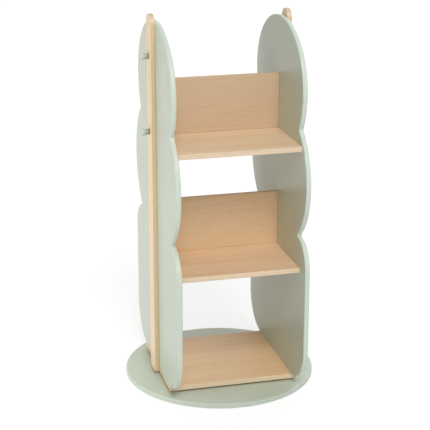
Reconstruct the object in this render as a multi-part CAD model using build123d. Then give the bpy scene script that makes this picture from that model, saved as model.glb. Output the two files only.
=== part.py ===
"""A floor-standing bookcase for a child's room that turns on a round base.

All sizes are in millimetres. +Z is up, the floor is Z = 0 and the axis that the case turns about is the Z axis.
X runs from the left side panel to the right one, and Y runs from the open front (-Y) to the open back (+Y).
The case is the same front to back, so most pieces are placed in mirrored pairs.
"""
from build123d import *
import math
import os

# Round base and its feet
BASE_DIAMETER = 460.0
BASE_THICKNESS = 12.0
BASE_EDGE_RADIUS = 2.5
PAD_DIAMETER = 30.0
PAD_THICKNESS = 2.0
PAD_EDGE_INSET = 15.0
PAD_COUNT = 6

# Low ball bearing, partly sunk into the base
BEARING_DIAMETER = 200.0
BEARING_SUNK_DEPTH = 3.5
RACE_HEIGHT = 7.5
RACE_STEP = 1.0
RACE_WIDTH = 9.25
RACE_GAP = 1.5
BALL_RADIUS = 2.0
BALL_COUNT = 36
BALL_RUNNING_CLEARANCE = 0.05
CAGE_THICKNESS = 0.7
CAGE_HEIGHT = 6.2
CAGE_BALL_CLEARANCE = 0.15
POCKET_CLEARANCE = 0.5
BEARING_SCREW_COUNT = 6
ACCESS_HOLE_RADIUS = 7.0
PLUG_FLANGE_WIDTH = 2.5
PLUG_FLANGE_THICKNESS = 1.2
PLUG_STEM_LENGTH = 5.0
PLUG_CLEARANCE = 0.2

# Boards of the case
BOARD = 12.0
BOARD_EDGE_RADIUS = 1.2
INNER_WIDTH = 288.0
SHELF_PITCH = 290.0
SHELF_DEPTH = 380.0
BOTTOM_SHELF_DEPTH = 278.0
DIVIDER_HEIGHT = 132.0
DIVIDER_THICKNESS = 12.0

# Side panels: heights are above the top face of the bottom shelf, half widths are from the middle of the panel
PANEL_THICKNESS = 12.0
PANEL_EDGE_RADIUS = 3.0
PANEL_HEIGHT = 846.5
LOWER_LOBE_HALF_WIDTH = 227.5
LOWER_CORNER_RADIUS = 95.0
LOWER_SHOULDER_RADIUS = 69.0
LOWER_NOTCH_HEIGHT = 359.5
MIDDLE_LOBE_HALF_WIDTH = 224.5
UPPER_NOTCH_HEIGHT = 611.0
UPPER_NOTCH_HALF_WIDTH = 160.5
UPPER_LOBE_HALF_WIDTH = 186.0
UPPER_FLANK_RISE = 86.5
NOTCH_RADIUS = 3.0

# Posts on the outer faces of the panels
POST_WIDTH = 45.0
POST_THICKNESS = 12.0
POST_EDGE_RADIUS = 2.0
POST_BACK_EDGE_RADIUS = 1.5
POST_RISE = 16.5
POST_FOOT_RISE = 2.0

# Pegs on the posts: heights are above the top face of the top shelf
PEG_STEM_RADIUS = 6.5
PEG_STEM_LENGTH = 11.0
PEG_FOOT_CHAMFER = 1.0
PEG_HEAD_RADIUS = 9.0
PEG_HEAD_LENGTH = 7.5
PEG_HEAD_EDGE_RADIUS = 3.0
UPPER_PEG_HEIGHT = 185.5
LOWER_PEG_HEIGHT = 8.0

# Screws with countersunk heads, all driven flush
SCREW_FIT = 0.05
WOOD_SCREW_RADIUS = 1.75
WOOD_SCREW_HEAD_RADIUS = 3.4
WOOD_SCREW_HEAD_HEIGHT = 1.9
WOOD_SCREW_TIP = 2.0
DRIVE_REACH = 1.9
DRIVE_WIDTH = 0.9
DRIVE_DEPTH = 1.4
BASE_SCREW_LENGTH = 12.0
SHELF_SCREW_LENGTH = 15.0
FOOT_SCREW_LENGTH = 40.0
PEG_SCREW_LENGTH = 33.0
FOOT_SCREW_SPACING = 100.0

# Wooden dowels, each in two blind holes
DOWEL_RADIUS = 3.0
DOWEL_FIT = 0.1
DOWEL_END_PLAY = 0.5
DOWEL_EDGE = 0.6
DOWEL_DEPTH_IN_FACE = 7.0
DOWEL_DEPTH_IN_EDGE = 18.0
FOOT_DOWEL_SPACING = 100.0
SHELF_DOWEL_SPACING = 120.0
DIVIDER_DOWEL_SPACING = 180.0
DIVIDER_END_DOWEL_HEIGHT = 100.0
POST_DOWEL_DEPTH = 6.0
POST_DOWEL_HEIGHTS = (60.0, 210.0, 360.0, 500.0)

# Cam fittings that pull the panels onto the shelf ends
CAM_RADIUS = 6.0
CAM_HEIGHT = 9.0
CAM_SETBACK = 24.0
CAM_FIT = 0.1
CAM_SLOT_WIDTH = 1.2
CAM_SLOT_DEPTH = 1.0
CAM_BOLT_RADIUS = 2.0
CAM_BOLT_THREAD_RADIUS = 3.0
CAM_BOLT_DEPTH_IN_PANEL = 8.0
CAM_BOLT_NECK_IN_CAM = 4.0
CAM_BOLT_CLEARANCE = 0.3
CAM_SPACING = 240.0

# Levels and planes that follow from the sizes above
BASE_BOTTOM_Z = PAD_THICKNESS
BASE_TOP_Z = BASE_BOTTOM_Z + BASE_THICKNESS
POCKET_FLOOR_Z = BASE_TOP_Z - BEARING_SUNK_DEPTH
CASE_BOTTOM_Z = POCKET_FLOOR_Z + RACE_STEP + RACE_HEIGHT
BOTTOM_SHELF_Z = CASE_BOTTOM_Z + BOARD
MIDDLE_SHELF_Z = BOTTOM_SHELF_Z + SHELF_PITCH
TOP_SHELF_Z = MIDDLE_SHELF_Z + SHELF_PITCH
PANEL_TOP_Z = BOTTOM_SHELF_Z + PANEL_HEIGHT
LOWER_NOTCH_Z = BOTTOM_SHELF_Z + LOWER_NOTCH_HEIGHT
UPPER_NOTCH_Z = BOTTOM_SHELF_Z + UPPER_NOTCH_HEIGHT
INNER_X = INNER_WIDTH / 2
OUTER_X = INNER_X + PANEL_THICKNESS
POST_X = OUTER_X + POST_THICKNESS
PANEL_MIDDLE_X = INNER_X + PANEL_THICKNESS / 2

# The two races of the bearing, the ball circle between them and the circles of their screws
OUTER_RACE_RADIUS = BEARING_DIAMETER / 2
BALL_CIRCLE_RADIUS = OUTER_RACE_RADIUS - RACE_WIDTH - RACE_GAP / 2
INNER_RACE_RADIUS = BALL_CIRCLE_RADIUS - RACE_GAP / 2
BALL_Z = POCKET_FLOOR_Z + (RACE_HEIGHT + RACE_STEP) / 2
BASE_SCREW_CIRCLE = OUTER_RACE_RADIUS - RACE_WIDTH / 2
SHELF_SCREW_CIRCLE = INNER_RACE_RADIUS - RACE_WIDTH / 2

SIDES = {"left": -1, "right": 1}


def tube(outer, inner, z, height):
    """A ring about the Z axis, with its foot at z."""
    return Pos(0, 0, z) * (disc(outer, height) - disc(inner, height))


def disc(radius, height):
    return Cylinder(radius, height, align=(Align.CENTER, Align.CENTER, Align.MIN))


def rod(radius, start, direction, length):
    """A round bar or bore that starts at a point and runs along a direction."""
    return Plane(origin=start, z_dir=direction) * disc(radius, length)


def board(width, depth, thickness, z, radius=BOARD_EDGE_RADIUS):
    """A flat board about the Z axis with its top face at z and every edge eased."""
    blank = Box(width, depth, thickness, align=(Align.CENTER, Align.CENTER, Align.MAX))
    return Pos(0, 0, z) * fillet(blank.edges(), radius)


def around(count, radius, z, start_angle=0.0):
    """Evenly spaced points on a circle about the Z axis."""
    angles = [math.radians(start_angle + 360.0 * i / count) for i in range(count)]
    return [(radius * math.cos(a), radius * math.sin(a), z) for a in angles]


def mirrored(spacing):
    return (-spacing / 2, spacing / 2)


def screw(start, direction, length):
    """A countersunk wood screw: start is the middle of its flat head and it points along direction."""
    shank = length - WOOD_SCREW_HEAD_HEIGHT - WOOD_SCREW_TIP
    base = (Align.CENTER, Align.CENTER, Align.MIN)
    body = Cone(WOOD_SCREW_HEAD_RADIUS, WOOD_SCREW_RADIUS, WOOD_SCREW_HEAD_HEIGHT, align=base)
    body += Pos(0, 0, WOOD_SCREW_HEAD_HEIGHT) * disc(WOOD_SCREW_RADIUS, shank)
    tip = Cone(WOOD_SCREW_RADIUS, WOOD_SCREW_RADIUS / 4, WOOD_SCREW_TIP, align=base)
    body += Pos(0, 0, WOOD_SCREW_HEAD_HEIGHT + shank) * tip
    return Plane(origin=start, z_dir=direction) * (body - drive_cross())


def drive_cross():
    """The cross in a screw's head: two slots whose ends run down to a point under the middle."""
    half = DRIVE_WIDTH / 2
    slot = Polyline((-DRIVE_REACH, 0), (DRIVE_REACH, 0), (half, DRIVE_DEPTH), (-half, DRIVE_DEPTH), close=True)
    blade = extrude(Plane.XZ * make_face(slot), amount=half, both=True)
    return blade + Rot(0, 0, 90) * blade


def screw_hole(start, direction, length):
    """The countersink and pilot hole that a screw of this length fills."""
    fit = SCREW_FIT
    base = (Align.CENTER, Align.CENTER, Align.MIN)
    sink = Cone(WOOD_SCREW_HEAD_RADIUS + fit, WOOD_SCREW_RADIUS + fit, WOOD_SCREW_HEAD_HEIGHT, align=base)
    hole = sink + disc(WOOD_SCREW_RADIUS + fit, length + fit)
    return Plane(origin=start, z_dir=direction) * hole


def dowel(seam, direction, depth_back, depth_ahead):
    """A dowel across a seam: it reaches depth_back behind the seam point and depth_ahead past it."""
    length = depth_back + depth_ahead - 2 * DOWEL_END_PLAY
    pin = disc(DOWEL_RADIUS, length)
    pin = chamfer(pin.edges().filter_by(GeomType.CIRCLE), DOWEL_EDGE)
    start = Vector(*seam) - Vector(*direction) * (depth_back - DOWEL_END_PLAY)
    return Plane(origin=start, z_dir=direction) * pin


def dowel_hole(seam, direction, depth_back, depth_ahead):
    start = Vector(*seam) - Vector(*direction) * depth_back
    return rod(DOWEL_RADIUS + DOWEL_FIT, start, direction, depth_back + depth_ahead)


def cut(body, tools):
    for tool in tools:
        body = body - tool
    return body


# Every joint between two boards is listed once, and both the hole and the piece that fills it come from it

def foot_dowels():
    """Dowels that stand in the bottom shelf and locate the panels."""
    return [((side * PANEL_MIDDLE_X, y, BOTTOM_SHELF_Z), (0, 0, 1), DOWEL_DEPTH_IN_FACE, DOWEL_DEPTH_IN_EDGE)
            for side in SIDES.values() for y in mirrored(FOOT_DOWEL_SPACING)]


def foot_screws():
    """Screws from under the bottom shelf up into the feet of the panels."""
    return [((side * PANEL_MIDDLE_X, y, CASE_BOTTOM_Z), (0, 0, 1), FOOT_SCREW_LENGTH)
            for side in SIDES.values() for y in (-FOOT_SCREW_SPACING, 0, FOOT_SCREW_SPACING)]


def shelf_dowels(shelf_z):
    """Dowels between a panel and the end of a raised shelf."""
    return [((side * INNER_X, y, shelf_z - BOARD / 2), (-side, 0, 0), DOWEL_DEPTH_IN_FACE, DOWEL_DEPTH_IN_EDGE)
            for side in SIDES.values() for y in mirrored(SHELF_DOWEL_SPACING)]


def divider_foot_dowels(shelf_z):
    """Dowels between a raised shelf and the divider that stands on it."""
    return [((x, 0, shelf_z), (0, 0, 1), DOWEL_DEPTH_IN_FACE, DOWEL_DEPTH_IN_EDGE)
            for x in mirrored(DIVIDER_DOWEL_SPACING)]


def divider_end_dowels(shelf_z):
    """Dowels between a panel and the end of a divider."""
    z = shelf_z + DIVIDER_END_DOWEL_HEIGHT
    return [((side * INNER_X, 0, z), (-side, 0, 0), DOWEL_DEPTH_IN_FACE, DOWEL_DEPTH_IN_EDGE)
            for side in SIDES.values()]


def post_dowels():
    """Dowels between each panel and the post on its outer face."""
    return [((side * OUTER_X, 0, BOTTOM_SHELF_Z + h), (side, 0, 0), DOWEL_DEPTH_IN_FACE, POST_DOWEL_DEPTH)
            for side in SIDES.values() for h in POST_DOWEL_HEIGHTS]


def peg_points():
    """The foot of each peg on its post, by name, with the side it is on."""
    heights = {"upper": TOP_SHELF_Z + UPPER_PEG_HEIGHT, "lower": TOP_SHELF_Z + LOWER_PEG_HEIGHT}
    return {f"{name}_{level}_peg": (side, z) for name, side in SIDES.items() for level, z in heights.items()}


def peg_screws():
    """Screws from the inner face of each panel, through panel and post, into the pegs."""
    return [((side * INNER_X, 0, z), (side, 0, 0), PEG_SCREW_LENGTH) for side, z in peg_points().values()]


def base_screws():
    """Screws that hold the outer race to the base."""
    top = POCKET_FLOOR_Z + RACE_HEIGHT
    return [(p, (0, 0, -1), BASE_SCREW_LENGTH) for p in around(BEARING_SCREW_COUNT, BASE_SCREW_CIRCLE, top)]


def shelf_screws():
    """Screws that hold the inner race to the bottom shelf, driven through the access hole in the base."""
    foot = POCKET_FLOOR_Z + RACE_STEP
    return [(p, (0, 0, 1), SHELF_SCREW_LENGTH) for p in around(BEARING_SCREW_COUNT, SHELF_SCREW_CIRCLE, foot)]


def cams(shelf_z):
    """The middle of each cam's open face, under a raised shelf, and the side whose panel it pulls."""
    return [(side, side * (INNER_X - CAM_SETBACK), y, shelf_z - BOARD)
            for side in SIDES.values() for y in mirrored(CAM_SPACING)]


RAISED_SHELVES = (MIDDLE_SHELF_Z, TOP_SHELF_Z)


def all_dowels():
    """Every dowel of the case, by the node that holds it."""
    return {
        "panel_foot_dowels": foot_dowels(),
        "shelf_dowels": [d for z in RAISED_SHELVES for d in shelf_dowels(z)],
        "divider_dowels": [d for z in RAISED_SHELVES for d in divider_foot_dowels(z) + divider_end_dowels(z)],
        "post_dowels": post_dowels(),
    }


def base_plate():
    """The round foot, with the bearing's pocket, its screw holes and the access hole."""
    plate = Pos(0, 0, BASE_BOTTOM_Z) * disc(BASE_DIAMETER / 2, BASE_THICKNESS)
    plate = fillet(plate.edges().filter_by(GeomType.CIRCLE), BASE_EDGE_RADIUS)
    plate -= Pos(0, 0, POCKET_FLOOR_Z) * disc(OUTER_RACE_RADIUS + POCKET_CLEARANCE, BEARING_SUNK_DEPTH)
    plate -= Pos(SHELF_SCREW_CIRCLE, 0, BASE_BOTTOM_Z) * disc(ACCESS_HOLE_RADIUS, BASE_THICKNESS)
    return cut(plate, [screw_hole(*s) for s in base_screws()])


def access_plug():
    """A push-in plug that closes the access hole from below."""
    flange_z = BASE_BOTTOM_Z - PLUG_FLANGE_THICKNESS
    plug = Pos(0, 0, flange_z) * disc(ACCESS_HOLE_RADIUS + PLUG_FLANGE_WIDTH, PLUG_FLANGE_THICKNESS)
    plug += Pos(0, 0, BASE_BOTTOM_Z) * disc(ACCESS_HOLE_RADIUS - PLUG_CLEARANCE, PLUG_STEM_LENGTH)
    return Pos(SHELF_SCREW_CIRCLE, 0, 0) * plug


def foot_pads():
    radius = BASE_DIAMETER / 2 - PAD_EDGE_INSET - PAD_DIAMETER / 2
    half_step = 180.0 / PAD_COUNT
    return [Pos(*p) * disc(PAD_DIAMETER / 2, PAD_THICKNESS) for p in around(PAD_COUNT, radius, 0, half_step)]


def ball_groove():
    return Pos(0, 0, BALL_Z) * Torus(BALL_CIRCLE_RADIUS, BALL_RADIUS + BALL_RUNNING_CLEARANCE)


def bearing_outer_ring():
    """The race that stays still, screwed into the pocket of the base."""
    race = tube(OUTER_RACE_RADIUS, OUTER_RACE_RADIUS - RACE_WIDTH, POCKET_FLOOR_Z, RACE_HEIGHT)
    return cut(race, [ball_groove()] + [screw_hole(*s) for s in base_screws()])


def bearing_inner_ring():
    """The race that turns, screwed to the underside of the bottom shelf."""
    race = tube(INNER_RACE_RADIUS, INNER_RACE_RADIUS - RACE_WIDTH, POCKET_FLOOR_Z + RACE_STEP, RACE_HEIGHT)
    return cut(race, [ball_groove()] + [screw_hole(*s) for s in shelf_screws()])


def bearing_cage():
    """A thin band between the races with a window for each ball."""
    inner = BALL_CIRCLE_RADIUS - CAGE_THICKNESS / 2
    band = tube(inner + CAGE_THICKNESS, inner, BALL_Z - CAGE_HEIGHT / 2, CAGE_HEIGHT)
    windows = []
    for x, y, z in around(BALL_COUNT, BALL_CIRCLE_RADIUS, BALL_Z):
        outward = Vector(x, y, 0).normalized()
        start = Vector(x, y, z) - outward * BALL_RADIUS
        windows.append(rod(BALL_RADIUS + CAGE_BALL_CLEARANCE, start, outward, 2 * BALL_RADIUS))
    return cut(band, windows)


def bearing_balls():
    return [Pos(*p) * Sphere(BALL_RADIUS) for p in around(BALL_COUNT, BALL_CIRCLE_RADIUS, BALL_Z)]


def bottom_shelf():
    """The lowest board, which runs under both panels and carries the whole case."""
    shelf = board(2 * OUTER_X, BOTTOM_SHELF_DEPTH, BOARD, BOTTOM_SHELF_Z)
    tools = [dowel_hole(*d) for d in foot_dowels()]
    tools += [screw_hole(*s) for s in foot_screws() + shelf_screws()]
    return cut(shelf, tools)


def raised_shelf(z):
    """A board between the panels, bored for its end dowels, its cams and the dowels of its divider."""
    shelf = board(INNER_WIDTH, SHELF_DEPTH, BOARD, z)
    tools = [dowel_hole(*d) for d in shelf_dowels(z) + divider_foot_dowels(z)]
    for side, x, y, under in cams(z):
        tools.append(Pos(x, y, under) * disc(CAM_RADIUS + CAM_FIT, CAM_HEIGHT + CAM_FIT))
        bore = CAM_BOLT_RADIUS + CAM_BOLT_CLEARANCE
        tools.append(rod(bore, (x, y, z - BOARD / 2), (side, 0, 0), CAM_SETBACK))
    return cut(shelf, tools)


def divider(shelf_z):
    """The low upright board that parts the front of a tier from its back."""
    panel = board(INNER_WIDTH, DIVIDER_THICKNESS, DIVIDER_HEIGHT, shelf_z + DIVIDER_HEIGHT)
    return cut(panel, [dowel_hole(*d) for d in divider_foot_dowels(shelf_z) + divider_end_dowels(shelf_z)])


def panel_outline():
    """The cloud-like outline of a side panel, in (Y, Z), drawn for Y > 0 from the foot to the crown."""
    z = BOTTOM_SHELF_Z
    foot = (LOWER_LOBE_HALF_WIDTH - LOWER_CORNER_RADIUS, z)
    side_low = (LOWER_LOBE_HALF_WIDTH, z + LOWER_CORNER_RADIUS)
    side_high = (LOWER_LOBE_HALF_WIDTH, LOWER_NOTCH_Z - LOWER_SHOULDER_RADIUS)
    lower_notch = (LOWER_LOBE_HALF_WIDTH - LOWER_SHOULDER_RADIUS, LOWER_NOTCH_Z)
    middle = (MIDDLE_LOBE_HALF_WIDTH, (LOWER_NOTCH_Z + UPPER_NOTCH_Z) / 2)
    upper_notch = (UPPER_NOTCH_HALF_WIDTH, UPPER_NOTCH_Z)
    upper_side = (UPPER_LOBE_HALF_WIDTH, UPPER_NOTCH_Z + UPPER_FLANK_RISE)
    flank_run = UPPER_LOBE_HALF_WIDTH - UPPER_NOTCH_HALF_WIDTH
    flank_radius = (flank_run ** 2 + UPPER_FLANK_RISE ** 2) / (2 * flank_run)
    return [
        Line((0, z), foot),
        RadiusArc(foot, side_low, -LOWER_CORNER_RADIUS),
        Line(side_low, side_high),
        RadiusArc(side_high, lower_notch, -LOWER_SHOULDER_RADIUS),
        ThreePointArc(lower_notch, middle, upper_notch),
        RadiusArc(upper_notch, upper_side, -flank_radius),
        EllipticalCenterArc((0, upper_side[1]), UPPER_LOBE_HALF_WIDTH, PANEL_TOP_Z - upper_side[1]),
    ]


def panel_blank(side):
    """A side panel before it is bored: rounded along both faces all the way round, but square at its foot."""
    half = Curve() + panel_outline()
    face = make_face(half + mirror(half, about=Plane.YZ))
    notches = [v for v in face.vertices() if min(abs(v.Y - LOWER_NOTCH_Z), abs(v.Y - UPPER_NOTCH_Z)) < 0.01]
    face = fillet(notches, NOTCH_RADIUS)
    panel = extrude(upright_plane(side * INNER_X) * face, amount=side * PANEL_THICKNESS)
    across = panel.edges().filter_by(Axis.X)
    panel = fillet([e for e in panel.edges() if e not in across], PANEL_EDGE_RADIUS)
    foot_width = 2 * (LOWER_LOBE_HALF_WIDTH - LOWER_CORNER_RADIUS)
    seated = (Align.CENTER, Align.CENTER, Align.MIN)
    foot = Box(PANEL_THICKNESS, foot_width, 2 * PANEL_EDGE_RADIUS, align=seated)
    return panel + Pos(side * PANEL_MIDDLE_X, 0, BOTTOM_SHELF_Z) * foot


def upright_plane(x):
    """The plane across the X axis at x, with its own x along Y and its own y along Z."""
    return Plane(origin=(x, 0, 0), x_dir=(0, 1, 0), z_dir=(1, 0, 0))


def side_panel(side):
    """One scalloped side panel, bored for everything that joins it."""
    tools = [dowel_hole(*d) for group in all_dowels().values() for d in group]
    tools += [screw_hole(*s) for s in foot_screws() + peg_screws()]
    for shelf_z in RAISED_SHELVES:
        for cam_side, x, y, under in cams(shelf_z):
            start = (cam_side * INNER_X, y, shelf_z - BOARD / 2)
            bore = CAM_BOLT_THREAD_RADIUS + SCREW_FIT
            tools.append(rod(bore, start, (cam_side, 0, 0), CAM_BOLT_DEPTH_IN_PANEL + SCREW_FIT))
    return cut(panel_blank(side), [t for t in tools if on_side(t, side)])


def on_side(tool, side):
    return tool.bounding_box().max.X > 0 if side > 0 else tool.bounding_box().min.X < 0


def post(side):
    """A flat post with a half-round top and eased edges, bored for its dowels and for its pegs' screws."""
    foot_z = CASE_BOTTOM_Z + POST_FOOT_RISE
    top_z = PANEL_TOP_Z + POST_RISE
    length = top_z - POST_WIDTH / 2 - foot_z
    face = Pos(0, foot_z + length / 2) * Rectangle(POST_WIDTH, length)
    face += Pos(0, foot_z + length) * Circle(POST_WIDTH / 2)
    body = extrude(upright_plane(side * OUTER_X) * face, amount=side * POST_THICKNESS)
    for x, radius in ((POST_X, POST_EDGE_RADIUS), (OUTER_X, POST_BACK_EDGE_RADIUS)):
        rim = [e for e in body.edges() if abs(abs(e.center().X) - x) < 0.01]
        body = fillet(rim, radius)
    tools = [dowel_hole(*d) for d in post_dowels()] + [screw_hole(*s) for s in peg_screws()]
    return cut(body, [t for t in tools if on_side(t, side)])


def peg(side, z):
    """A turned peg: a plain stem with an eased foot and a wider, rounded head, bored for its screw."""
    head = Pos(0, 0, PEG_STEM_LENGTH) * disc(PEG_HEAD_RADIUS, PEG_HEAD_LENGTH)
    head = fillet(head.edges().filter_by(GeomType.CIRCLE), PEG_HEAD_EDGE_RADIUS)
    stem = disc(PEG_STEM_RADIUS, PEG_STEM_LENGTH)
    stem = chamfer(stem.edges().group_by(Axis.Z)[0], PEG_FOOT_CHAMFER)
    body = Plane(origin=(side * POST_X, 0, z), z_dir=(side, 0, 0)) * (head + stem)
    return body - screw_hole((side * INNER_X, 0, z), (side, 0, 0), PEG_SCREW_LENGTH)


def cam_nuts():
    """The round cams under the raised shelves, each with a mouth for its bolt and a slot for the driver."""
    nuts = []
    for shelf_z in RAISED_SHELVES:
        for side, x, y, under in cams(shelf_z):
            nut = Pos(x, y, under) * disc(CAM_RADIUS, CAM_HEIGHT)
            bore = CAM_BOLT_RADIUS + CAM_BOLT_CLEARANCE
            nut -= rod(bore, (x, y, shelf_z - BOARD / 2), (side, 0, 0), CAM_SETBACK)
            nut -= Pos(x, y, under) * Box(2 * CAM_RADIUS, CAM_SLOT_WIDTH, 2 * CAM_SLOT_DEPTH)
            nuts.append(nut)
    return nuts


def cam_bolts():
    """The bolts that stand in the panels and are gripped by the cams."""
    bolts = []
    for shelf_z in RAISED_SHELVES:
        for side, x, y, under in cams(shelf_z):
            seam = (side * INNER_X, y, shelf_z - BOARD / 2)
            neck = CAM_SETBACK - CAM_RADIUS + CAM_BOLT_NECK_IN_CAM
            bolt = rod(CAM_BOLT_THREAD_RADIUS, seam, (side, 0, 0), CAM_BOLT_DEPTH_IN_PANEL)
            bolts.append(bolt + rod(CAM_BOLT_RADIUS, seam, (-side, 0, 0), neck))
    return bolts


def build():
    """Every node of the bookcase, by name."""
    nodes = {
        "base_plate": base_plate(),
        "foot_pads": foot_pads(),
        "access_plug": access_plug(),
        "bearing_outer_ring": bearing_outer_ring(),
        "bearing_inner_ring": bearing_inner_ring(),
        "bearing_cage": bearing_cage(),
        "bearing_balls": bearing_balls(),
        "bearing_base_screws": [screw(*s) for s in base_screws()],
        "bearing_shelf_screws": [screw(*s) for s in shelf_screws()],
        "bottom_shelf": bottom_shelf(),
        "middle_shelf": raised_shelf(MIDDLE_SHELF_Z),
        "top_shelf": raised_shelf(TOP_SHELF_Z),
        "middle_divider": divider(MIDDLE_SHELF_Z),
        "top_divider": divider(TOP_SHELF_Z),
        "panel_foot_screws": [screw(*s) for s in foot_screws()],
        "peg_screws": [screw(*s) for s in peg_screws()],
        "shelf_cam_nuts": cam_nuts(),
        "shelf_cam_bolts": cam_bolts(),
    }
    for name, side in SIDES.items():
        nodes[f"{name}_panel"] = side_panel(side)
        nodes[f"{name}_post"] = post(side)
    for name, (side, z) in peg_points().items():
        nodes[name] = peg(side, z)
    for name, group in all_dowels().items():
        nodes[name] = [dowel(*d) for d in group]
    return nodes


def main():
    os.makedirs("parts", exist_ok=True)
    for name, shape in build().items():
        solid = Compound(children=shape) if isinstance(shape, list) else shape
        export_step(solid, f"parts/{name}.step")
    contact_inner = BALL_CIRCLE_RADIUS - BALL_RADIUS
    contact_outer = BALL_CIRCLE_RADIUS + BALL_RADIUS
    print("cage turns at", round(contact_inner / (contact_inner + contact_outer), 4), "of the case's turn")
    print("overall height", round(PANEL_TOP_Z + POST_RISE, 1))


main()
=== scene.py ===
# %% [markdown]
# # A revolving bookcase for a child's room
# The construction comes in as a fixed frame: every board, peg and screw is already at its real size and
# place, in metres, with +Z up and the open front towards -Y. Its shapes are finished, with eased edges and
# bored holes, so what Blender adds is how each surface looks, and the light and the camera. A helper measures
# the box of each part, which the wood patterns use.

# %% Load the frame
import bpy
import math
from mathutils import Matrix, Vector


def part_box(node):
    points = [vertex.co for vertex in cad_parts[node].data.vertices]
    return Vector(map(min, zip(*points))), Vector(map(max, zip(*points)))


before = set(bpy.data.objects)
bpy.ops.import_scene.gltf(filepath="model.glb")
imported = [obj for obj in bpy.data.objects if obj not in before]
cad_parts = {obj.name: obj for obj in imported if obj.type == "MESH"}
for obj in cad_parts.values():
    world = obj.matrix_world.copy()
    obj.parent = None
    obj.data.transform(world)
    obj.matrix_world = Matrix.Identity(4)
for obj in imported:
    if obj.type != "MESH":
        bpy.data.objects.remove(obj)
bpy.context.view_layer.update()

# %% [markdown]
# ## Building a material from nodes
# A finish is a small graph of nodes. It could be wired by hand in the Shader Editor, or line by line in a
# script, but both take many steps for each finish. So one helper starts a material, and another adds a node
# and fills its inputs, each with a number, a colour or another node's output. A number that is the same all
# over a surface is set on the shader's own socket, because other programs read it there after an export.

# %% Start a material and add a node


def start_material(name, **sockets):
    """A new material, its node tree and its shader, with constants set on the shader's sockets."""
    material = bpy.data.materials.new(name)
    material.use_nodes = True
    tree = material.node_tree
    shader = tree.nodes["Principled BSDF"]
    for socket, value in sockets.items():
        shader.inputs[socket.replace("_", " ")].default_value = value
    return material, tree, shader


def add(tree, kind, inputs, **settings):
    """One node: its inputs are sockets by name or number, each a value or another node's output."""
    node = tree.nodes.new("ShaderNode" + kind)
    for key, value in settings.items():
        setattr(node, key, value)
    for key, value in inputs.items():
        if isinstance(value, bpy.types.NodeSocket):
            tree.links.new(value, node.inputs[key])
        else:
            node.inputs[key].default_value = value
    return node


def scalar(tree, operation, first, second=0.0):
    """Arithmetic on numbers."""
    return add(tree, "Math", {0: first, 1: second}, operation=operation).outputs[0]


def vector(tree, operation, first, second):
    """Arithmetic on vectors, one axis at a time."""
    return add(tree, "VectorMath", {0: first, 1: second}, operation=operation).outputs["Vector"]


def length(tree, of):
    """How long a vector is, which for a point is its distance from the origin."""
    return add(tree, "VectorMath", {0: of}, operation="LENGTH").outputs["Value"]


# %% [markdown]
# Colours are picked on a screen, so they are written as screen values from 0 to 255. A shader adds up
# light and needs linear values instead: a grey that looks half as bright as white sends back about a fifth
# of the light. One function turns the first into the second. A plain grey is used to darken: multiplied in,
# it leaves the hue alone.

# %% Colours


def linear(rgb):
    """A colour as a screen shows it, 0 to 255, as the linear values that a shader takes."""
    parts = [c / 255 for c in rgb]
    parts = [c / 12.92 if c <= 0.04045 else ((c + 0.055) / 1.055) ** 2.4 for c in parts]
    return (*parts, 1.0)


def deeper(rgb, share):
    """The same colour with each screen value scaled, for the shaded end of a ramp."""
    return tuple(c * share for c in rgb)


def grey(value):
    """A grey in linear light."""
    return (value, value, value, 1.0)


print("screen grey 128 is", round(linear((128, 128, 128))[0], 3), "in linear light")

# %% [markdown]
# ## Patterns in metres
# A pattern could be painted on an unwrapped picture of each piece, but thirty pieces would need thirty
# unwraps, and the grain would jump at their seams. Every pattern here is worked out from the object's own
# coordinates instead. They are in metres, so a pattern has its real scale, and they turn with the piece when
# the bookcase turns. The direction that a surface faces, also in the object's own axes, tells a board's rim
# from its faces.

# %% Where a point is, and which way it faces


def place(tree, turn=(0, 0, 0), shift=(0, 0, 0)):
    """The object's own coordinates in metres, turned and then moved."""
    here = add(tree, "TexCoord", {}).outputs["Object"]
    return add(tree, "Mapping", {"Vector": here, "Rotation": turn, "Location": shift}).outputs[0]


def size_along(tree, of, axis):
    """The size of a vector along one axis, whatever its sign."""
    return scalar(tree, "ABSOLUTE", add(tree, "SeparateXYZ", {0: of}).outputs[axis])


def facing(tree, axis):
    """How squarely the surface faces along an axis of the object, from 0 to 1."""
    return size_along(tree, add(tree, "TexCoord", {}).outputs["Normal"], axis)


# %% [markdown]
# Noise is the raw material of every pattern, and a pattern's size is 1 / scale metres. Its values crowd
# around 0.5 and seldom leave the range from 0.3 to 0.7, so that range is stretched to whatever the pattern
# needs. A colour ramp turns a value into colours, and shade uses one to darken a tone by part of itself,
# which keeps neighbouring tones related, as they are in one real material.

# %% Noise, ranges and tones

NOISE_LOW = 0.3
NOISE_HIGH = 0.7


def noise(tree, where, scale, detail=3.0, rough=0.5, kind="Fac"):
    """Noise over coordinates; detail adds finer copies of it, and rough says how strong they are."""
    inputs = {"Vector": where, "Scale": scale, "Detail": detail, "Roughness": rough}
    return add(tree, "TexNoise", inputs).outputs[kind]


def line_noise(tree, along, scale, detail):
    """Noise that changes along a single value, such as a radius."""
    inputs = {"W": along, "Scale": scale, "Detail": detail}
    return add(tree, "TexNoise", inputs, noise_dimensions="1D").outputs[0]


def span(tree, value, low, high, to_low, to_high):
    """A value carried from one range to another, and held inside it."""
    return add(tree, "MapRange", {0: value, 1: low, 2: high, 3: to_low, 4: to_high}).outputs[0]


def ramp(tree, value, *stops):
    """A colour ramp: each stop is a position and a linear colour."""
    node = add(tree, "ValToRGB", {0: value})
    elements = node.color_ramp.elements
    while len(elements) < len(stops):
        elements.new(0.5)
    for element, (position, colour) in zip(elements, stops):
        element.position = position
        element.color = colour
    return node.outputs[0]


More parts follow.
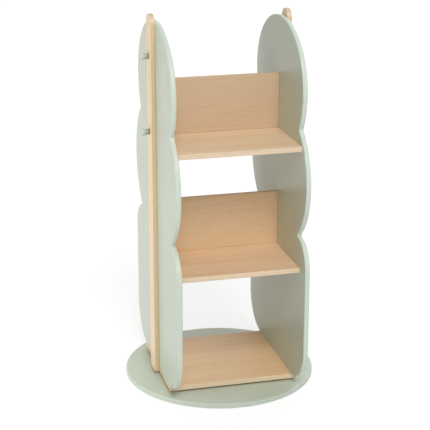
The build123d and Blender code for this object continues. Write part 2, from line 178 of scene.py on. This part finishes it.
def mix(tree, factor, first, second, blend="MIX"):
    """Two colours mixed by a factor from 0 to 1."""
    node = add(tree, "Mix", {0: factor, 6: first, 7: second}, data_type="RGBA", blend_type=blend)
    return node.outputs[2]


def shade(tree, tone, value, *stops, tint=grey):
    """Multiplies a tone along a value: each stop is a position and how much of the tone is left."""
    left = [(position, tint(share)) for position, share in stops]
    return mix(tree, 1.0, tone, ramp(tree, value, *left), "MULTIPLY")


print("noise is read from", NOISE_LOW, "to", NOISE_HIGH)


# %% [markdown]
# A relief of a few hundredths of a millimetre would need millions of faces, so a bump node bends the light
# as if it were there. Anything larger on this bookcase, such as an eased edge or the recess in a screw's
# head, is real geometry in the frame. The other helpers here link what was worked out to the shader, and
# put a material on a piece.

# %% Relief, and putting a material on


def bump(tree, height, distance, strength=1.0, onto=None):
    """Relief of a height in metres, on its own or on top of another relief."""
    inputs = {"Height": height, "Distance": distance, "Strength": strength}
    if onto is not None:
        inputs["Normal"] = onto
    return add(tree, "Bump", inputs).outputs[0]


def dress(tree, shader, tone, roughness, relief):
    """Links a worked-out colour, roughness and relief to the shader."""
    tree.links.new(tone, shader.inputs["Base Color"])
    tree.links.new(roughness, shader.inputs["Roughness"])
    tree.links.new(relief, shader.inputs["Normal"])


def wear(material, *names):
    """Puts a material on every slot of the named nodes."""
    for name in names:
        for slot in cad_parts[name].material_slots:
            slot.material = material
    print(material.name, "on", ", ".join(names))


def ending(word):
    """The names of the nodes that end in a word, such as the four pegs."""
    return [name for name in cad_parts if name.endswith(word)]


# %% [markdown]
# ## Sage green paint
# The panels, the base and the pegs are fibreboard or turned wood under a satin sprayed paint. A panel's
# rounded rim is painted paler: that is a painted highlight, where the rounding catches the light. The rim
# could be a second material on chosen faces, but the border would then be a hard line. Here one paint mixes
# two tones by the direction that the surface faces, so the change follows the rounding of the edge. A panel's
# faces look along X and the base's along Z, and what looks elsewhere is rim. A peg's neck is painted darker:
# that is painted shade, cast by its head. The neck is found by its distance from the middle of the bookcase.

# %% Rims and necks

RIM_FACING = (0.45, 0.95)
PEG_NECK_SHADE_SPAN = (0.169, 0.181)


def panel_rim_highlight(tree):
    """1 on a panel's rim, where a highlight is painted, and 0 on its faces."""
    return span(tree, facing(tree, "X"), *RIM_FACING, 1.0, 0.0)


def base_rim(tree):
    """1 on the base's rim and 0 on its faces."""
    return span(tree, facing(tree, "Z"), *RIM_FACING, 1.0, 0.0)


def peg_neck_shade(tree):
    """1 on a peg's neck, where shade is painted, and 0 on its head."""
    return span(tree, size_along(tree, place(tree), "X"), *PEG_NECK_SHADE_SPAN, 1.0, 0.0)


print("a peg's neck fades out", PEG_NECK_SHADE_SPAN[1], "m from the middle")

# %% [markdown]
# Up close, sprayed paint is never one flat tone. It is faintly cloudy where the coat is thicker, it has a
# fine mottle, and its surface has orange peel: low bumps a few millimetres wide that break up the highlight.
# A photograph of paint would show all three, but only at the size and in the light that it was taken in, so
# each is a noise of its own scale. A thin clear coat on the shader gives the soft highlight of satin.

# %% Satin paint

CLOUD_SCALE = 4.0
MOTTLE_SCALE = 1500.0
MOTTLE_LOW = 0.25
MOTTLE_HIGH = 0.75
PAINT_SHADE = 0.97
PEEL_SCALE = 380.0
PEEL_RELIEF = 0.00005
PAINT_ROUGHNESS = (0.36, 0.5)


def paint(name, face, other, share):
    """Satin paint in two tones: share works out how much of the other one each point has."""
    material, tree, shader = start_material(name, Coat_Weight=0.15, Coat_Roughness=0.25, IOR=1.47)
    tone = mix(tree, share(tree), linear(face), linear(other))
    clouds = noise(tree, place(tree), CLOUD_SCALE, detail=2.0)
    tone = shade(tree, tone, clouds, (NOISE_LOW, PAINT_SHADE), (NOISE_HIGH, 1.0))
    mottle = noise(tree, place(tree), MOTTLE_SCALE, detail=1.0)
    tone = shade(tree, tone, mottle, (MOTTLE_LOW, PAINT_SHADE), (MOTTLE_HIGH, 1.0))
    peel = noise(tree, place(tree), PEEL_SCALE, detail=2.0)
    roughness = span(tree, peel, NOISE_LOW, NOISE_HIGH, *PAINT_ROUGHNESS)
    dress(tree, shader, tone, roughness, bump(tree, peel, PEEL_RELIEF))
    return material


print("orange peel is", round(1000 / PEEL_SCALE, 1), "mm wide and", 1000 * PEEL_RELIEF, "mm high")


# %% [markdown]
# The same green looks different on each piece: the panels are upright and the base lies flat, so they take
# the light differently, and the pegs are turned wood. Each gets its own pair of tones, close to the others,
# except that the panels' pale rim tone is a painted highlight and the pegs' dark neck tone is painted shade.

# %% Painted pieces

PANEL_FACE = (203, 211, 194)
# painted highlight: the panels' rounded rims get a paler tone for the light they catch
PANEL_RIM_HIGHLIGHT = (219, 232, 217)
BASE_FACE = (209, 219, 203)
BASE_RIM = (207, 218, 202)
PEG_HEAD = (202, 213, 198)
# painted shade: the pegs' necks get a darker tone for the shade under their heads
PEG_NECK_SHADE = (140, 150, 122)

wear(paint("sage_paint_panel", PANEL_FACE, PANEL_RIM_HIGHLIGHT, panel_rim_highlight), "left_panel", "right_panel")
wear(paint("sage_paint_base", BASE_FACE, BASE_RIM, base_rim), "base_plate")
wear(paint("sage_paint_peg", PEG_HEAD, PEG_NECK_SHADE, peg_neck_shade), *ending("_peg"))

# %% [markdown]
# ## Pale wood
# A board is sawn from a log, so its grain isn't a flat picture: it is the log's yearly rings, cut open.
# Stretched stripes could stand for it, but they break where a face meets an edge. The material here does as
# the saw does: it takes each point's place in an imagined log, and the faces, edges and ends then agree
# without any more work. The log's heart lies a few centimetres outside the board, at a place of its own for
# each board. A board is also moved along the grain by its own height, so that no two boards are alike.

# %% Coordinates of a log


def log_space(tree, name, heart, upright):
    """Coordinates about the heart of the log that a piece was sawn from, with the grain along X."""
    low, high = (Vector(corner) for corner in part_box(name))
    middle = (low + high) / 2
    centre = middle + Vector(heart)
    if upright:
        return place(tree, turn=(0, math.pi / 2, 0), shift=(0, -centre.y, centre.x))
    return place(tree, shift=(middle.z, -centre.y, -centre.z))


def along_grain(tree, log, stretch, **look):
    """Noise in a log's coordinates, with a scale for each axis: a small one along X draws it out."""
    return noise(tree, vector(tree, "MULTIPLY", log, stretch), 1.0, **look)


# %% [markdown]
# A ring is drawn every few millimetres from the heart, but a real log is neither straight nor round. A slow
# noise pushes the rings aside as they run along the log, which turns straight lines into the long arches on
# the face of a board. A noise along the radius makes wide and narrow years, and a third one makes each ring
# a little ragged. The result runs from 0 to 1 through each year.

# %% Growth rings

SWAY_STRETCH = (1.6, 7.0, 7.0)
SWAY_MIDDLE = (0.5, 0.5, 0.5)
ACROSS = (0, 1, 1)
SEASONS_SCALE = 70.0
SEASONS_YEARS = 4.0
RAGGED_STRETCH = (9.0, 160.0, 160.0)


def growth_rings(tree, log, spacing, crooked):
    """How far through its year's ring each point is, from 0 at the early wood to 1 at the late wood."""
    slow = along_grain(tree, log, SWAY_STRETCH, detail=2.0, kind="Color")
    sway = vector(tree, "SUBTRACT", slow, SWAY_MIDDLE)
    swayed = vector(tree, "ADD", log, vector(tree, "MULTIPLY", sway, (0, crooked, crooked)))
    radius = length(tree, vector(tree, "MULTIPLY", swayed, ACROSS))
    seasons = scalar(tree, "MULTIPLY", line_noise(tree, radius, SEASONS_SCALE, 1.0), SEASONS_YEARS)
    ragged = along_grain(tree, log, RAGGED_STRETCH, detail=2.0)
    years = scalar(tree, "ADD", scalar(tree, "DIVIDE", radius, spacing), seasons)
    return scalar(tree, "FRACT", scalar(tree, "ADD", years, ragged))


print("good and lean years change over about", round(1000 / SEASONS_SCALE), "mm")


# %% [markdown]
# Each ring has a pale early part and a thin, darker late part, which ends as the next spring begins. Late
# wood is darker in a warm way: blue fades first, then green. A grey would make it look dirty, so the
# darkening has its own tint. On real boards the rings come and go, and a last slow noise lets them fade on
# the plainer stretches.

# %% Late wood

LATE_WOOD = ((0.0, 0.0), (0.45, 0.25), (0.86, 1.0), (0.97, 0.0))
GREEN_FADE = 1.2
BLUE_FADE = 1.6
PLAIN_STRETCH = (2.5, 22.0, 22.0)
PLAIN_LOW = 0.35
PLAIN_HIGH = 0.65
PLAIN_RINGS_LEFT = 0.25


def honey(left):
    """Darkens wood warmly."""
    return (left, left ** GREEN_FADE, left ** BLUE_FADE, 1.0)


def ringed(tree, tone, log, spacing, crooked, year):
    """A tone with growth rings over it, whose late wood is darker by a share of a year."""
    late = [(position, 1.0 - share * year) for position, share in LATE_WOOD]
    rings = shade(tree, tone, growth_rings(tree, log, spacing, crooked), *late, tint=honey)
    lively = along_grain(tree, log, PLAIN_STRETCH)
    return mix(tree, span(tree, lively, PLAIN_LOW, PLAIN_HIGH, PLAIN_RINGS_LEFT, 1.0), tone, rings)


print("late wood peaks at", LATE_WOOD[2][0], "of each year")

# %% [markdown]
# Finer marks go over the rings: long fibres less than a millimetre wide, and short dark pores that are
# sunk a little. Fibres could be left to the relief alone, but they differ in tone too, and the satin
# lacquer is slightly glossier between them, so one noise drives all three. A sawn end is darker, because
# it drinks more lacquer. It needs no noise: it is what faces along the grain.

# %% Fibres and pores

FIBRE_STRETCH = (40.0, 1400.0, 1400.0)
FIBRE_SHADE = ((0.32, 0.94), (0.58, 1.0))
FIBRE_RELIEF = 0.00005
FIBRE_STRENGTH = 0.8
FIBRE_ROUGHNESS = (0.5, 0.38)
PORE_STRETCH = (35.0, 700.0, 700.0)
PORE_LOW = 0.66
PORE_HIGH = 0.74
PORE_STAIN = 0.2
PORE_TONE = 0.68
PORE_RELIEF = -0.0002
PORE_STRENGTH = 0.6
END_SHADE = ((0.6, 1.0), (0.95, 0.88))


def fibred(tree, shader, tone, log, dark, ends):
    """Finishes wood: fibres, pores and darker ends over a tone, with their gloss and relief."""
    fibres = along_grain(tree, log, FIBRE_STRETCH, rough=0.6)
    tone = shade(tree, tone, fibres, *FIBRE_SHADE, tint=honey)
    dashes = along_grain(tree, log, PORE_STRETCH, detail=1.0, rough=0.4)
    pores = span(tree, dashes, PORE_LOW, PORE_HIGH, 0.0, PORE_STAIN)
    tone = mix(tree, pores, tone, linear(deeper(dark, PORE_TONE)))
    tone = shade(tree, tone, facing(tree, ends), *END_SHADE)
    roughness = span(tree, fibres, NOISE_LOW, NOISE_HIGH, *FIBRE_ROUGHNESS)
    relief = bump(tree, fibres, FIBRE_RELIEF, FIBRE_STRENGTH)
    dress(tree, shader, tone, roughness, bump(tree, pores, PORE_RELIEF, PORE_STRENGTH, onto=relief))


print("fibres are about", round(1000 / FIBRE_STRETCH[1], 1), "mm wide")


# %% [markdown]
# Under the marks lie soft bands about three centimetres wide, from a light tone to a darker one. The
# narrow sides of a board, which face along Y, get a tone of their own: on a shelf it is its paler veneer
# edge, and on a post a darker honey tone that is painted shade. A post's round top also faces a little along
# Y but is as pale as its front, so on a post the side tone is kept to what faces almost exactly along Y. One
# material could serve every board, but then all would share one log, so this function makes one for each
# piece.

# %% Sawn wood

BAND_STRETCH = (1.5, 30.0, 30.0)
BAND_LOW = 0.3
BAND_HIGH = 0.68
BOARD_SIDE_FACING = (0.5, 0.9)
POST_SHADED_SIDE_FACING = (0.985, 0.999)
SIDE_SHARE = 0.85


def sawn_wood(name, piece, tones, side, heart, upright=False, spacing=0.0036, crooked=0.035, year=0.07):
    """Lacquered wood for one piece: two tones for its faces, one for its sides, and the place of its log."""
    material, tree, shader = start_material(name, Coat_Weight=0.1, Coat_Roughness=0.3, IOR=1.5)
    light, dark = tones
    log = log_space(tree, piece, heart, upright)
    bands = along_grain(tree, log, BAND_STRETCH)
    tone = ramp(tree, bands, (BAND_LOW, linear(dark)), (BAND_HIGH, linear(light)))
    # on a post the side tone is painted shade; on a shelf it is the edge's own paler veneer
    squarely = POST_SHADED_SIDE_FACING if upright else BOARD_SIDE_FACING
    sideways = span(tree, facing(tree, "Y"), *squarely, 0.0, SIDE_SHARE)
    tone = mix(tree, sideways, tone, linear(side))
    tone = ringed(tree, tone, log, spacing, crooked, year)
    fibred(tree, shader, tone, log, dark, ends="Z" if upright else "X")
    return material


print("bands are about", round(1000 / BAND_STRETCH[1]), "mm wide")


# %% [markdown]
# ## Shelves
# The three shelves are boards with a pale veneer on their faces and on their long edges, which are paler
# still. One tone could serve all three, but no two boards of a wood are the same. The lower ones are a
# little yellower: that is painted warm light, bounced between the boards. The hearts of their logs lie 7 to
# 9 centimetres below them.

# %% Shelves

BOARD_EDGE = (243, 221, 190)
SHELF_WOOD_AND_BOUNCE = {
    # the warmer tones of the lower shelves are painted bounce light
    "bottom_shelf": {"tones": ((252, 219, 176), (244, 206, 160)), "heart": (0, 0.03, -0.075)},
    "middle_shelf": {"tones": ((250, 217, 183), (241, 203, 164)), "heart": (0, -0.04, -0.09)},
    "top_shelf": {"tones": ((247, 220, 188), (238, 206, 169)), "heart": (0, 0.06, -0.07)},
}

for name, wood in SHELF_WOOD_AND_BOUNCE.items():
    wear(sawn_wood("veneer_" + name, name, side=BOARD_EDGE, **wood), name)

# %% [markdown]
# ## Dividers
# A divider stands on edge, so the heart of its log lies behind it instead of below. Its wide faces already
# look along Y, and therefore its side tone is simply the light one of its two. Both dividers are a little
# darker than the shelves, and the top one darker still: that is painted shade.

# %% Dividers

DIVIDER_WOOD_AND_SHADE = {
    # painted shade: divider tones darker than the shelves', the top one most
    "middle_divider": {"tones": ((237, 206, 168), (228, 194, 152)), "heart": (0, 0.085, 0.02)},
    "top_divider": {"tones": ((220, 191, 159), (210, 179, 144)), "heart": (0, 0.07, -0.03)},
}

for name, wood in DIVIDER_WOOD_AND_SHADE.items():
    light, _ = wood["tones"]
    wear(sawn_wood("veneer_" + name, name, side=light, **wood), name)

# %% [markdown]
# ## Posts
# The posts are solid pine with the grain upright. Their wide outward faces and round tops are pale, and
# their narrow sides get a darker honey tone, which is painted shade. Pine grows fast and straight, so its
# rings lie wider apart, wander less and show more than the veneer's.

# %% Posts

PINE_TONES = ((247, 226, 194), (240, 214, 178))
# painted shade: the darker honey tone on the posts' narrow sides
PINE_SIDE_SHADE = (232, 204, 160)
PINE_GRAIN = {"spacing": 0.006, "crooked": 0.012, "year": 0.12}
POST_HEARTS = {"left_post": (0.05, 0.01, 0), "right_post": (-0.05, -0.015, 0)}

for name, heart in POST_HEARTS.items():
    wear(sawn_wood("pine_" + name, name, PINE_TONES, PINE_SIDE_SHADE, heart, upright=True, **PINE_GRAIN), name)

# %% [markdown]
# ## Dowels
# The dowels are small and raw, and only show when the bookcase comes apart. They could share one plain
# brown, but the same function gives them real grain for nothing, with finer rings to suit their size.

# %% Dowels

DOWEL_TONES = ((222, 194, 154), (206, 175, 132))
DOWEL_HEART = (0, 0, -0.03)
DOWEL_RING_SPACING = 0.002

for name in ending("_dowels"):
    raw = sawn_wood("raw_" + name, name, DOWEL_TONES, DOWEL_TONES[0], DOWEL_HEART,
                    spacing=DOWEL_RING_SPACING)
    wear(raw, name)

# %% [markdown]
# ## Turned rings
# The bearing's two rings are turned from aluminium, and a lathe leaves fine lines round its axis. They could
# be cut as grooves, at the cost of many thousands of faces for a mark that is a few hundredths of a
# millimetre deep. A noise along the distance to the turning axis gives the same lines, because it is the
# same all round.

# %% Turned rings

TURNING_SCALE = 3000.0
TURNING_SHADE = 0.9
TURNING_RELIEF = 0.00002
TURNING_SPREAD = 0.12
ALUMINIUM = (205, 207, 208)
ALUMINIUM_ROUGHNESS = 0.28


def turned_metal(name, tone, rough):
    """Bare metal with fine lines round the vertical axis."""
    material, tree, shader = start_material(name, Metallic=1.0)
    radius = length(tree, vector(tree, "MULTIPLY", place(tree), (1, 1, 0)))
    lines = line_noise(tree, radius, TURNING_SCALE, 2.0)
    shaded = linear(deeper(tone, TURNING_SHADE))
    colour = ramp(tree, lines, (NOISE_LOW, shaded), (NOISE_HIGH, linear(tone)))
    roughness = span(tree, lines, NOISE_LOW, NOISE_HIGH, rough, rough + TURNING_SPREAD)
    dress(tree, shader, colour, roughness, bump(tree, lines, TURNING_RELIEF))
    return material


rings = turned_metal("turned_aluminium", ALUMINIUM, ALUMINIUM_ROUGHNESS)
wear(rings, "bearing_outer_ring", "bearing_inner_ring")

# %% [markdown]
# ## Plated and moulded pieces
# The balls, screws and cams are steel and zinc, and the ball cage, pads and plug are nylon, rubber and
# plastic. They hardly show, but the bookcase comes apart, so they are finished too. Seen close, they have
# two things in common: soft clouds in the tone, from plating or moulding, and a fine grain in gloss and
# relief. One function with those two sizes as its values therefore makes all six.

# %% Clouded and grained materials

CLOUD_SHADE = 0.9
CLOUD_HIGH = 0.65
GRAIN_SPREAD = 0.13


def speckled(name, tone, rough, clouds, grain, relief, **sockets):
    """Soft clouds in the colour and a fine grain in the gloss and relief."""
    material, tree, shader = start_material(name, **sockets)
    bloom = noise(tree, place(tree), clouds)
    fine = noise(tree, place(tree), grain, detail=2.0)
    shaded = linear(deeper(tone, CLOUD_SHADE))
    colour = ramp(tree, bloom, (NOISE_LOW, shaded), (CLOUD_HIGH, linear(tone)))
    roughness = span(tree, fine, NOISE_LOW, NOISE_HIGH, rough, rough + GRAIN_SPREAD)
    dress(tree, shader, colour, roughness, bump(tree, fine, relief))
    return material


# %% [markdown]
# Metals differ from the rest by one socket, Metallic: their reflection takes the metal's own colour. The
# balls are polished almost like a mirror, the zinc plate on the screws is satin and a little warm, and the
# cast cams are duller. Nylon, rubber and the plug are matt.

# %% Balls, screws, cams, cage, pads and plug

balls = speckled("polished_steel", (214, 215, 216), rough=0.08, clouds=260, grain=2600, relief=0.00001,
                 Metallic=1.0)
plate = speckled("zinc_plate", (206, 204, 196), rough=0.3, clouds=260, grain=2600, relief=0.00002,
                 Metallic=1.0)
cast = speckled("cast_zinc", (178, 178, 176), rough=0.42, clouds=200, grain=1500, relief=0.00004,
                Metallic=1.0)
nylon = speckled("nylon", (232, 229, 218), rough=0.45, clouds=90, grain=900, relief=0.00003)
rubber = speckled("rubber", (62, 62, 60), rough=0.72, clouds=120, grain=1400, relief=0.00006)
plug = speckled("moulded_plug", (165, 172, 155), rough=0.5, clouds=90, grain=1100, relief=0.00004)
wear(balls, "bearing_balls")
wear(plate, "shelf_cam_bolts", *ending("_screws"))
wear(cast, "shelf_cam_nuts")
wear(nylon, "bearing_cage")
wear(rubber, "foot_pads")
wear(plug, "access_plug")

# %% [markdown]
# ## Studio floor
# The bookcase stands in a white studio with no floor line. Lamps bright enough to turn a floor white would
# wash out the pale paint too. Cycles can tell what a ray of light is for, so the floor can look one way to
# the camera, and to mirrors and glass that show it, and another way to the light on its way to the wood.

# %% What the camera sees


def seen_directly(tree):
    """1 for a ray from the camera or by way of a mirror or glass, and 0 for light on its way to a surface."""
    path = add(tree, "LightPath", {}).outputs
    clear = scalar(tree, "MAXIMUM", path["Is Glossy Ray"], path["Is Transmission Ray"])
    return scalar(tree, "MAXIMUM", path["Is Camera Ray"], clear)


# %% [markdown]
# The floor shows itself as partly glowing card, and lights the bookcase as plain pale card. It glows only
# in part and takes the rest from the lamps, so the soft shadow of the bookcase stays. The lamps fade with
# distance, and the glow grows with it, so the floor meets the white behind it without a line.

# %% Floor

FLOOR_SIZE = 14.0
FLOOR_BOUNCE = grey(0.85)
FLOOR_SEEN = grey(0.42)
FLOOR_CLOUD_SCALE = 3.0
FLOOR_CLOUD_SHADE = 0.98
FLOOR_GLOW_NEAR = 0.68
FLOOR_GLOW_FAR = 0.82
FLOOR_GLOW_REACH = 4.5

bpy.ops.mesh.primitive_plane_add(size=FLOOR_SIZE)
floor = bpy.context.object
floor.name = "studio_floor"
card, tree, shader = start_material("studio_white", Roughness=0.9, Specular_IOR_Level=0.1)
shown = seen_directly(tree)
tone = mix(tree, shown, FLOOR_BOUNCE, FLOOR_SEEN)
clouds = noise(tree, place(tree), FLOOR_CLOUD_SCALE)
tone = shade(tree, tone, clouds, (0.0, FLOOR_CLOUD_SHADE), (1.0, 1.0))
tree.links.new(tone, shader.inputs["Base Color"])
shader.inputs["Emission Color"].default_value = grey(1.0)
glow = span(tree, length(tree, place(tree)), 0.0, FLOOR_GLOW_REACH, FLOOR_GLOW_NEAR, FLOOR_GLOW_FAR)
tree.links.new(scalar(tree, "MULTIPLY", shown, glow), shader.inputs["Emission Strength"])
floor.data.materials.append(card)
print("floor", FLOOR_SIZE, "m wide")

# %% [markdown]
# ## World
# The white behind the floor follows the same idea. A single white world would be simple, but it would light
# the bookcase from all sides at full strength and flatten it. So the camera, mirrors and glass see white,
# and the surfaces are lit by a world a third as strong, which fills the shade between the shelves.

# %% World

WORLD_LIGHT = 0.34

world = bpy.data.worlds.new("studio")
world.use_nodes = True
bpy.context.scene.world = world
sky = world.node_tree
fill = sky.nodes["Background"]
fill.inputs["Color"].default_value = grey(1.0)
fill.inputs["Strength"].default_value = WORLD_LIGHT
white = add(sky, "Background", {"Color": grey(1.0), "Strength": 1.0})
both = add(sky, "MixShader", {0: seen_directly(sky), 1: fill.outputs[0], 2: white.outputs[0]})
sky.links.new(both.outputs[0], sky.nodes["World Output"].inputs["Surface"])
print("world at", WORLD_LIGHT, "of white")

# %% [markdown]
# ## Lamps
# The strongest light is a large soft box high up and far in front. It could stand nearer at less power, but
# the top shelf would then be much brighter than the bottom one. A soft box low on the left brightens the
# left panel and leaves the inside of the right one in soft shade. A weak one behind on the right lifts the
# sides that the camera's own view doesn't show. A lamp of P watts sends P / (pi d^2) to a card at distance
# d, and a white card gives back 1 / pi of that, so the power follows from the share of white that is wanted.

# %% Lamps

LIT_POINT = Vector((0, 0, 0.4))


def soft_box(name, where, size, share):
    """A round soft box aimed at the bookcase, which alone would light a white card there to this share."""
    data = bpy.data.lights.new(name, "AREA")
    data.shape = "DISK"
    data.size = size
    lamp = bpy.data.objects.new(name, data)
    lamp.location = where
    ray = LIT_POINT - lamp.location
    data.energy = share * math.pi ** 2 * ray.length_squared
    lamp.rotation_euler = ray.to_track_quat("-Z", "Y").to_euler()
    bpy.context.scene.collection.objects.link(lamp)
    print(name, round(data.energy, 1), "W")


soft_box("left_box", where=(-1.7, 0.15, 0.25), size=0.8, share=0.345)
soft_box("front_box", where=(-0.4, -4.6, 5.1), size=2.6, share=0.5)
soft_box("back_box", where=(3.4, 3.6, 3.2), size=2.4, share=0.2)

# %% [markdown]
# ## Camera
# The camera stands in front, a little to the left and above, and looks at the middle of the bookcase through
# a long lens. It could be placed by its coordinates, but a direction and a distance from the point that it
# looks at are easier to adjust one at a time. The Standard view transform shows colours as they are written.

# %% Camera

CAMERA_AZIMUTH = math.radians(-14.44)
CAMERA_ELEVATION = math.radians(17.97)
CAMERA_DISTANCE = 3.2785
CAMERA_LENS = 114.37
CAMERA_TARGET_HEIGHT = 0.4019
CAMERA_TARGET_SIDE = -0.0102

camera = bpy.data.objects.new("camera", bpy.data.cameras.new("camera"))
bpy.context.scene.collection.objects.link(camera)
bpy.context.scene.camera = camera
camera.data.lens = CAMERA_LENS
side = Vector((math.cos(CAMERA_AZIMUTH), math.sin(CAMERA_AZIMUTH), 0))
back = Vector((
    math.sin(CAMERA_AZIMUTH) * math.cos(CAMERA_ELEVATION),
    -math.cos(CAMERA_AZIMUTH) * math.cos(CAMERA_ELEVATION),
    math.sin(CAMERA_ELEVATION),
))
target = Vector((0, 0, CAMERA_TARGET_HEIGHT)) + side * CAMERA_TARGET_SIDE
camera.location = target + back * CAMERA_DISTANCE
camera.rotation_euler = back.to_track_quat("Z", "Y").to_euler()
bpy.context.scene.view_settings.view_transform = "Standard"
print("camera at", [round(c, 2) for c in camera.location])
